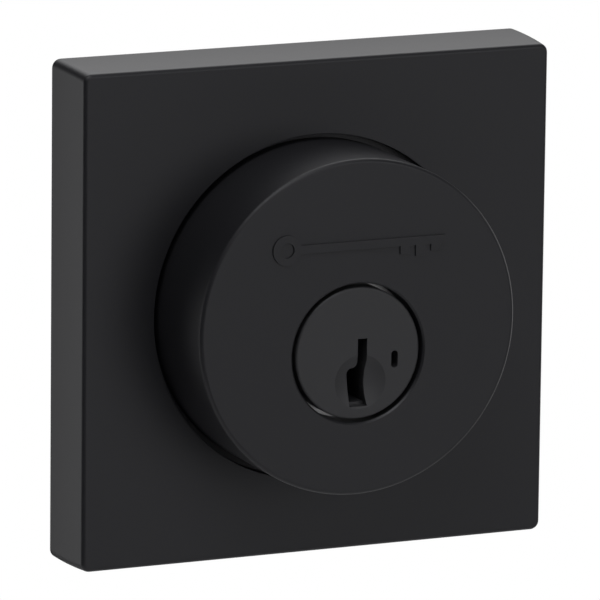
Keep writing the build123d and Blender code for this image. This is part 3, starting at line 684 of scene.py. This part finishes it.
class DEADBOLT_OT_plug(bpy.types.Operator):
    """Models the key plug: head, barrel, keyway, dish, tool slot, chambers, side pocket and rear recess"""
    bl_idname = "deadbolt.plug"
    bl_label = "Key plug"

    def execute(self, context):
        plug = context.scene.deadbolt_plug
        groove_rear, groove_front, groove = 6.1 * MM, 5.2 * MM, 7.3 * MM
        steps = [(PLUG_HIGH.y, plug.barrel), (groove_rear, plug.barrel), (groove_rear, groove),
                 (groove_front, groove), (groove_front, plug.barrel), (plug.head_rear, plug.barrel),
                 (plug.head_rear, plug.head)]
        piece = lathe("plug", steps + rounded(PLUG_LOW.y, plug.head, plug.edge))
        cut(piece, self.dish(plug))
        ledge, ledge_depth, keyway_rear, slot_rear = 0.4 * MM, 1.2 * MM, 2.3 * MM, -18 * MM
        cut(piece, prism("keyway", keyway_outline(), PLUG_LOW.y + ledge_depth, PLUG_LOW.y - CLEAR))
        tool_slot = slot_outline(x=5.3 * MM, z=-1.2 * MM, length=2.3 * MM, width=0.95 * MM)
        cut(piece, prism("tool slot", tool_slot, slot_rear, PLUG_LOW.y - CLEAR))
        dish_floor = PLUG_LOW.y + plug.dish_depth + 0.1 * MM
        ease(piece, 0.06 * MM, lambda edge: sharp(edge) and middle(edge).y < dish_floor
             and from_axis(edge) < plug.head - plug.edge)
        cut(piece, prism("inner keyway", keyway_outline(ledge), keyway_rear, PLUG_LOW.y + MM))
        self.hollow(piece)
        fitted(piece, "plug", "plug_coating", ["key_plug"])
        return {"FINISHED"}

    def dish(self, plug):
        """A lens that cuts the shallow dish."""
        place = (0.4 * MM, -3.9 * MM)
        ball = (plug.dish ** 2 + plug.dish_depth ** 2) / (2 * plug.dish_depth)
        centre = PLUG_LOW.y + plug.dish_depth - ball
        widest, narrowest, count = 1.4 * plug.dish / ball, 0.002, 14
        angles = [widest * (1 - k / count) for k in range(count)] + [narrowest]
        steps = [(centre + ball * cos(angle), ball * sin(angle)) for angle in angles]
        return lathe("dish", [(PLUG_LOW.y - CLEAR, steps[0][1]), *steps], place, sides=128)

    def hollow(self, piece):
        """The room for the pins, the carriage, the balls and the tailpiece."""
        beyond, recess_front = 9 * MM, 3.7 * MM
        first_pin, pitch, pin_x, chamber = -16.8 * MM, 3.81 * MM, 0.6 * MM, 1.45 * MM
        ball_y, ball_rest, ball_hole = -18.6 * MM, -3.8 * MM, 1.25 * MM
        cut(piece, block("pocket", (1.7 * MM, -19.5 * MM, -5.9 * MM), (beyond, 2.9 * MM, 4.9 * MM)))
        cut(piece, block("cover seat", (-1.15 * MM, -18.7 * MM, 7 * MM), (2.35 * MM, 0.4 * MM, beyond)))
        for number in range(5):
            y = first_pin + pitch * number
            cut(piece, rod("chamber", chamber, (pin_x, y, -1.7 * MM), (pin_x, y, 7.5 * MM)))
        for z in (-2.6 * MM, 2.6 * MM):
            cut(piece, rod("ball hole", ball_hole, (-beyond, ball_y, z), (ball_rest, ball_y, z)))
        cut(piece, prism("recess", self.recess_outline(), PLUG_HIGH.y + CLEAR, recess_front))

    def recess_outline(self):
        """The rear recess with its two windows, in which the tailpiece's tabs turn freely."""
        outline = []
        window, wall = 6.2 * MM, 4.8 * MM
        first, tab_stop, last = radians(-106.5), radians(16.5), radians(73.5)
        for half in (0, pi):
            outline += arc(AXIS, window, half + first, half + tab_stop, 24)
            outline += arc(AXIS, wall, half + tab_stop, half + last, 12)
        return outline


# ---------------------------------------------------------------- plate, ring, posts and screws

class DEADBOLT_OT_plate(bpy.types.Operator):
    """Models the steel support plate, its screws and its two threaded posts"""
    bl_idname = "deadbolt.plate"
    bl_label = "Support plate and posts"

    def execute(self, context):
        rose = context.scene.deadbolt_rose
        self.plate(rose)
        self.screws(rose)
        self.posts()
        return {"FINISHED"}

    def plate(self, rose):
        piece = block("plate", PLATE_LOW, PLATE_HIGH)
        thickness = PLATE_HIGH.y - PLATE_LOW.y
        ease(piece, rose.corner, lambda edge: abs(edge.verts[0].co.y - edge.verts[1].co.y) > thickness / 2, 8)
        rear, front, opening = PLATE_HIGH.y + CLEAR, PLATE_LOW.y - CLEAR, 13.4 * MM
        cut(piece, lathe("opening", [(rear, opening), (front, opening)]))
        for x in (-POST_X, POST_X):
            cut(piece, lathe("stem hole", [(rear, POST_STEM), (front, POST_STEM)], (x, 0), FINE))
        shank = 1.35 * MM
        sink = [(PLATE_HIGH.y + 0.5 * MM, 3.25 * MM), (PLATE_HIGH.y - 1.4 * MM, shank), (front, shank)]
        for place in boss_places(rose):
            cut(piece, lathe("countersink", sink, place, FINE))
        ease(piece, 0.2 * MM, lambda edge: sharp(edge) and near(middle(edge).y, PLATE_HIGH.y))
        fitted(piece, "housing", "zinc_plated_steel", ["support_plate"])

    def screws(self, rose):
        made = []
        tip, top, shank, head = SCREW_LOW.y, SCREW_HIGH.y, 1.2 * MM, 2.5 * MM
        steps = [(tip, 0.7 * MM), (tip + 0.8 * MM, shank), (top - 1.4 * MM, shank),
                 (top - 0.12 * MM, head), (top, head - 0.1 * MM)]
        for x, z in boss_places(rose):
            screw = lathe("rose screw", steps, (x, z), FINE)
            cut(screw, *cross(x, z, top, reach=1.55 * MM, width=0.42 * MM, depth=0.9 * MM))
            made.append(screw)
        fitted(merged("rose_screws_made", made), "housing", "zinc_plated_steel", ["rose_screws"])

    def posts(self):
        made = []
        end, radius = POST_HIGH.y, 4 * MM
        steps = [(POST_LOW.y, POST_STEM), (PLATE_HIGH.y, POST_STEM), (PLATE_HIGH.y, radius),
                 (end - 0.4 * MM, radius), (end - 0.12 * MM, radius - 0.28 * MM), (end, radius - 0.4 * MM)]
        for x in (-POST_X, POST_X):
            post = lathe("post", steps, (x, 0), 2 * FINE)
            cut(post, lathe("thread", self.thread(), (x, 0), FINE))
            made.append(post)
        fitted(merged("posts", made), "housing", "zinc_plated_steel", ["mounting_posts"])

    def thread(self):
        """A bore with its thread's crests and roots, and a chamfered mouth."""
        pitch, crest, root, turns = 0.8 * MM, 2.1 * MM, 2.45 * MM, 14
        mouth = POST_HIGH.y - 0.4 * MM
        steps = [(POST_HIGH.y + 0.2 * MM, crest + 0.6 * MM), (mouth, crest)]
        for turn in range(turns):
            depth = mouth - 0.2 * MM - turn * pitch
            steps += [(depth, crest), (depth - 0.35 * pitch, root), (depth - 0.5 * pitch, root),
                      (depth - 0.85 * pitch, crest)]
        return [*steps, (PLATE_HIGH.y, crest)]


def cross(x, z, face, reach, width, depth, taper=0.45):
    """Two crossed wedges that cut a screw's cross recess into a face that looks to +Y."""
    arms = []
    for across, up in ((reach, width / 2), (width / 2, reach)):
        arm = block("arm", (x - across, face - depth, z - up), (x + across, face + CLEAR, z + up))
        enter(arm)
        pick("FACE", lambda side: side.normal.y < -0.9)
        bpy.ops.transform.resize(value=(taper, 1, taper), center_override=(x, face - depth, z))
        leave()
        arms.append(arm)
    return arms


class DEADBOLT_OT_ring(bpy.types.Operator):
    """Models the plastic centring ring with its web, post holes and stiffening ribs"""
    bl_idname = "deadbolt.ring"
    bl_label = "Adapter ring"

    def execute(self, context):
        neck_rear, neck, web, hole, inner = 0.5 * MM, 26.2 * MM, 1 * MM, 13.6 * MM, 24 * MM
        front, rear, outer, slope = RING_LOW.y, RING_HIGH.y, RING_HIGH.x, 1 * MM
        soft, small, fillet = 0.1 * MM, 0.15 * MM, 0.3 * MM
        steps = [(front, hole), (front, neck), (neck_rear, neck), (neck_rear, outer), (rear - slope, outer),
                 (rear - soft, outer - slope + soft), (rear, outer - slope - soft), (rear, inner + small),
                 (rear - small, inner), (web + fillet, inner), (web, inner - fillet), (web, hole + small),
                 (web - small, hole)]
        piece = lathe("ring", steps, hollow=True)
        cut(piece, self.ribs(inner, web, rear), operation="UNION")
        post_hole = 4.1 * MM
        for x in (-POST_X, POST_X):
            steps = [(web + CLEAR, post_hole), (front - CLEAR, post_hole)]
            cut(piece, lathe("post hole", steps, (x, 0), 2 * FINE))
        fitted(piece, "housing", "moulded_plastic", ["adapter_ring"])
        return {"FINISHED"}

    def ribs(self, inner, web, rear, count=12):
        """Gussets between the web and the ring's wall."""
        half, sunk, foot, lean = 0.4 * MM, 0.2 * MM, 2.4 * MM, 1.9 * MM
        ribs = []
        for number in range(count):
            rib = block("rib", (inner - foot, web - sunk, -half), (inner + sunk, rear - 2 * half, half))
            enter(rib)
            pick("VERT", lambda vert: vert.co.y > web + MM and vert.co.x < inner)
            bpy.ops.transform.translate(value=(lean, 0, 0))
            leave()
            turned(rib, 2 * pi * (number + 0.5) / count)
            ribs.append(rib)
        return merged("ribs", ribs)


# ---------------------------------------------------------------- tailpiece and cap

class DEADBOLT_OT_tail(bpy.types.Operator):
    """Models the tailpiece, the cap that holds it in the plug, and the cap's two screws"""
    bl_idname = "deadbolt.tail"
    bl_label = "Tailpiece and cap"

    def execute(self, context):
        self.tailpiece()
        self.cap()
        self.screws()
        return {"FINISHED"}

    def tailpiece(self):
        disc_rear, disc, tab = 6.7 * MM, 4.6 * MM, radians(15)
        piece = lathe("tailpiece_made", [(disc_rear, disc), (TAIL_LOW.y, disc)], sides=2 * FINE)
        for half in (0, pi):
            outline = [(0, 0), *arc(AXIS, TAIL_HIGH.x, half - tab, half + tab)]
            cut(piece, prism("tab", outline, disc_rear, TAIL_LOW.y), operation="UNION")
        across, up, tip = 0.9 * MM, 3.25 * MM, 0.85 * MM
        blade = block("blade", (-across, disc_rear - MM, -up), (across, TAIL_HIGH.y, up))
        ease(blade, tip, lambda edge: near(middle(edge).y, TAIL_HIGH.y) and near(middle(edge).x, 0),
             segments=1)
        ease(blade, 0.18 * MM, lambda edge: sharp(edge, radians(30)))
        cut(piece, blade, operation="UNION")
        fitted(piece, "tail", "zinc_plated_steel", ["tailpiece"])

    def cap(self):
        small = 0.12 * MM
        low, high, outer, inner = CAP_LOW.y, CAP_HIGH.y, CAP_HIGH.x, 4.2 * MM
        steps = [(low, inner), (low, outer), (high - small, outer), (high, outer - small),
                 (high, inner + small), (high - small, inner)]
        piece = lathe("cap", steps, sides=128, hollow=True)
        hole = 0.85 * MM
        for place in self.screw_places():
            cut(piece, lathe("hole", [(high + CLEAR, hole), (low - CLEAR, hole)], place, FINE))
        fitted(piece, "plug", "brass", ["tail_cap"])

    def screw_places(self):
        radius = 5.7 * MM
        return [(radius * cos(angle), radius * sin(angle)) for angle in (radians(45), radians(225))]

    def screws(self):
        made = []
        under, top, shank, head, dome = CAP_HIGH.y, CAP_SCREW_HIGH.y, 0.75 * MM, 1.2 * MM, 0.42 * MM
        steps = [(CAP_SCREW_LOW.y, shank), (under, shank), (under, head)]
        for angle in (pi / 2 * k / 6 for k in range(6, 0, -1)):
            steps.append((top - dome * (1 - cos(angle)), head * sin(angle)))
        for place in self.screw_places():
            screw = lathe("cap screw", steps, place, FINE)
            cut(screw, *cross(*place, top, reach=0.62 * MM, width=0.22 * MM, depth=0.4 * MM))
            made.append(screw)
        fitted(merged("cap_screws", made), "plug", "zinc_plated_steel", ["tail_cap_screws"])


# ---------------------------------------------------------------- what works inside

class DEADBOLT_OT_cylinder(bpy.types.Operator):
    """Eases the edges of the cylinder body, the clip and the pieces that work inside the plug"""
    bl_idname = "deadbolt.cylinder"
    bl_label = "Cylinder and tumblers"

    def execute(self, context):
        eased = {"cylinder_body": ("housing", 0.15), "guard_screws": ("housing", 0.08),
                 "plug_clip": ("plug", 0.12), "chamber_cover": ("plug", 0.08),
                 "drill_guard_balls": ("plug", 0.02), "rack_carriage": ("carriage", 0.08),
                 "side_bar": ("bar", 0.1)}
        for number in range(1, 6):
            eased[f"key_pin_{number}"] = (f"pin_{number}", 0.05)
            eased[f"tumbler_rack_{number}"] = (f"rack_{number}", 0.05)
        for node, (body, edge) in eased.items():
            recut(node, body, SLOTS[node], edge * MM)
        return {"FINISHED"}


class DEADBOLT_OT_springs(bpy.types.Operator):
    """Winds the pins', the carriage's and the side bar's springs, and stands each one in its place"""
    bl_idname = "deadbolt.springs"
    bl_label = "Springs"

    def execute(self, context):
        for number in range(1, 6):
            node = f"pin_spring_{number}"
            low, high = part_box(node)
            radius = (high.x - low.x) / 2
            spring = coil(node + "_wound", radius, wire=0.22 * MM, length=high.z - low.z)
            base = Vector(((low.x + high.x) / 2, (low.y + high.y) / 2, low.z))
            self.place(spring, base, Vector((0, 0, 1)), high.z - low.z, f"pin_{number}", "plug", [node])
        low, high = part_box("carriage_spring")
        radius = (high.x - low.x) / 2
        spring = coil("carriage_spring_wound", radius, wire=0.25 * MM, length=high.y - low.y, turns=9)
        base = Vector(((low.x + high.x) / 2, low.y, (low.z + high.z) / 2))
        self.place(spring, base, Vector((0, 1, 0)), high.y - low.y, "carriage", "plug", ["carriage_spring"])
        low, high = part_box("side_bar_springs")
        radius = (high.z - low.z) / 2
        for name, y, nodes in (("bar_spring_front", low.y + radius, ["side_bar_springs"]),
                               ("bar_spring_rear", high.y - radius, [])):
            spring = coil(name, radius, wire=0.14 * MM, length=high.x - low.x)
            base = Vector((low.x, y, 0))
            self.place(spring, base, Vector((1, 0, 0)), high.x - low.x, "carriage", "bar", nodes)
        return {"FINISHED"}

    def place(self, spring, base, along, length, held, pushed, nodes):
        """Stands the spring on its base along its axis, shades it and gives it its finish."""
        enter(spring)
        bpy.ops.mesh.select_all(action="SELECT")
        if along.x:
            bpy.ops.transform.rotate(value=-pi / 2, orient_axis="Y", center_override=(0, 0, 0))
        if along.y:
            bpy.ops.transform.rotate(value=pi / 2, orient_axis="X", center_override=(0, 0, 0))
        tip = max((vert.co.dot(along) for vert in bmesh.from_edit_mesh(spring.data).verts), key=abs)
        if tip < 0:
            bpy.ops.transform.mirror(constraint_axis=(bool(along.x), bool(along.y), bool(along.z)),
                                     center_override=(0, 0, 0))
        bpy.ops.transform.translate(value=base)
        close_up()
        activate(spring)
        bpy.ops.object.shade_smooth_by_angle(angle=SMOOTH_ANGLE)
        spring.data.materials.append(bpy.data.materials["spring_steel"])
        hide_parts(*nodes)
        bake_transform(spring)


# ---------------------------------------------------------------- the stage

ROOM = 0.02                 # strength of the dark room round the lobes
LOBES = (                   # where each soft light stands, its strength, and its inner and outer angle
    ((0.398, -0.908, 0.125), 1.85, radians(2), radians(28)),     # seen by the front faces
    ((0.28, 0.65, 0.707), 2.70, radians(5), radians(38)),        # seen by the top
    ((-0.66, 0.73, -0.15), 1.65, radians(2), radians(25)),       # seen by the left side
    ((0.90, 0.40, -0.15), 1.50, radians(5), radians(36)),        # seen by the right edge
    ((-0.34, -0.30, 0.89), 5.00, radians(3), radians(20)),       # seen by the upper left edges
)
KEY_PLACE = (-0.06, -0.32, 0.42)
KEY_SIZE = 0.34
KEY_POWER = 0.5


class DEADBOLT_OT_stage(bpy.types.Operator):
    """Sets the floor, the soft studio light and the camera"""
    bl_idname = "deadbolt.stage"
    bl_label = "Stage"

    def execute(self, context):
        context.scene.view_settings.view_transform = "Standard"
        self.floor()
        self.studio(context.scene)
        self.camera(context.scene)
        return {"FINISHED"}

    def floor(self):
        floor = start("floor", bpy.ops.mesh.primitive_plane_add, size=4, location=(0, 0, -1.2))
        bpy.ops.mesh.subdivide(number_cuts=3)
        leave()
        material, shader, add, link = shader_of("pale floor")
        link(tinted(add, grain(add, 3, detail=3), (0.86, 0.86, 0.86), (0.9, 0.9, 0.9)), "Base Color")
        shader.inputs["Roughness"].default_value = 0.9
        floor.data.materials.append(material)

    def studio(self, scene):
        """White where the camera looks straight at it; for the object, a few soft lobes in a dark room."""
        world = bpy.data.worlds.new("studio")
        world.use_nodes = True
        scene.world = world
        tree = world.node_tree
        add = adder(tree)
        way = add("ShaderNodeTexCoord").outputs["Generated"]
        total = add("ShaderNodeValue").outputs[0]
        total.default_value = ROOM
        for toward, strength, inner, outer in LOBES:
            facing = add("ShaderNodeVectorMath", {0: way, 1: Vector(toward).normalized()},
                         operation="DOT_PRODUCT")
            lobe = add("ShaderNodeMapRange", {
                "Value": facing.outputs["Value"], "From Min": cos(outer), "From Max": cos(inner),
                "To Min": 0.0, "To Max": strength}, interpolation_type="SMOOTHSTEP")
            total = add("ShaderNodeMath", {0: total, 1: lobe.outputs["Result"]}).outputs[0]
        lit = add("ShaderNodeBackground", {"Strength": total})
        seen = tree.nodes["Background"]
        seen.inputs["Color"].default_value = (1, 1, 1, 1)
        mix = add("ShaderNodeMixShader", {0: add("ShaderNodeLightPath").outputs["Is Camera Ray"],
                                          1: lit.outputs[0], 2: seen.outputs[0]})
        tree.links.new(mix.outputs[0], tree.nodes["World Output"].inputs["Surface"])
        self.softbox("key", KEY_PLACE, KEY_SIZE, KEY_POWER)

    def softbox(self, name, place, size, power):
        """A square area light that looks at the object."""
        bpy.ops.object.select_all(action="DESELECT")
        turn = Vector(place).to_track_quat("Z", "Y").to_euler()
        bpy.ops.object.light_add(type="AREA", location=place, rotation=turn)
        light = bpy.context.object
        light.name = name
        light.data.size = size
        light.data.energy = power

    def camera(self, scene):
        stage = scene.deadbolt_stage
        target = Vector((0, ROSE_HIGH.y, TRIM[1]))
        away = Vector((-sin(stage.azimuth) * cos(stage.elevation), -cos(stage.azimuth) * cos(stage.elevation),
                       sin(stage.elevation)))
        turn = (Matrix.Rotation(-stage.azimuth, 3, "Z") @ Matrix.Rotation(pi / 2 - stage.elevation, 3, "X")
                @ Matrix.Rotation(stage.roll, 3, "Z"))
        bpy.ops.object.select_all(action="DESELECT")
        bpy.ops.object.camera_add(location=target + away * stage.distance, rotation=turn.to_euler())
        camera = bpy.context.object
        camera.data.lens = stage.lens
        camera.data.sensor_width = 36
        camera.data.shift_x = stage.shift_x
        camera.data.shift_y = stage.shift_y
        camera.data.clip_end = 20
        scene.camera = camera


# ---------------------------------------------------------------- panel, registration and run

class DEADBOLT_PT_panel(bpy.types.Panel):
    """Lists the deadbolt's pieces in the order that they are made"""
    bl_idname = "DEADBOLT_PT_panel"
    bl_label = "Deadbolt"
    bl_space_type = "VIEW_3D"
    bl_region_type = "UI"
    bl_category = "Deadbolt"

    def draw(self, context):
        for operator in OPERATORS:
            self.layout.operator(operator.bl_idname)


GROUPS = {
    "deadbolt_rose": RoseSizes,
    "deadbolt_guard": GuardSizes,
    "deadbolt_plug": PlugSizes,
    "deadbolt_colours": FinishColours,
    "deadbolt_stage": StageSettings,
}
OPERATORS = (DEADBOLT_OT_finishes, DEADBOLT_OT_rose, DEADBOLT_OT_guard, DEADBOLT_OT_plug, DEADBOLT_OT_plate,
             DEADBOLT_OT_ring, DEADBOLT_OT_tail, DEADBOLT_OT_cylinder, DEADBOLT_OT_springs, DEADBOLT_OT_stage)


def register():
    for cls in (*GROUPS.values(), *OPERATORS, DEADBOLT_PT_panel):
        bpy.utils.register_class(cls)
    for name, group in GROUPS.items():
        setattr(bpy.types.Scene, name, bpy.props.PointerProperty(type=group))


def unregister():
    for name in GROUPS:
        delattr(bpy.types.Scene, name)
    for cls in reversed((*GROUPS.values(), *OPERATORS, DEADBOLT_PT_panel)):
        bpy.utils.unregister_class(cls)


def main():
    register()
    for operator in OPERATORS:
        _, name = operator.bl_idname.split(".")
        getattr(bpy.ops.deadbolt, name)()


if __name__ == "__main__":
    main()
